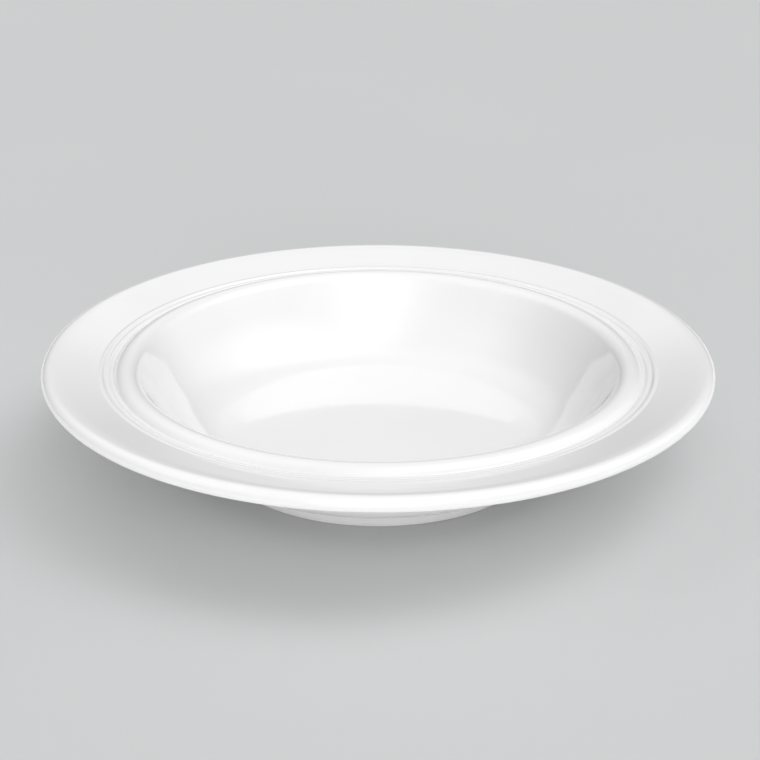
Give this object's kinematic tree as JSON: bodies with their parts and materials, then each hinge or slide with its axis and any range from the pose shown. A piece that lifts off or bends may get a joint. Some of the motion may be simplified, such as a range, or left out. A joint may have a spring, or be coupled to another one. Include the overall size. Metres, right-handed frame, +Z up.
{
  "type": "rimmed soup plate",
  "caption": "Round white glazed porcelain soup plate with a deep round well, a raised bead with fine ridges, a broad gently rising rim with a rolled lip, and a bare foot ring.",
  "frame": {"origin": "centre of the foot ring, on the table", "axes": "+Z up along the plate's axis of revolution, out of the well"},
  "size_m": [0.23, 0.23, 0.0397],
  "materials": {
    "bare_porcelain": "matte, ground smooth",
    "white_glaze": "clear high gloss over white porcelain"
  },
  "bodies": {
    "root": {"porcelain_body": "bare_porcelain", "outer_glaze": "white_glaze", "base_glaze": "white_glaze"}
  },
  "joints": []
}
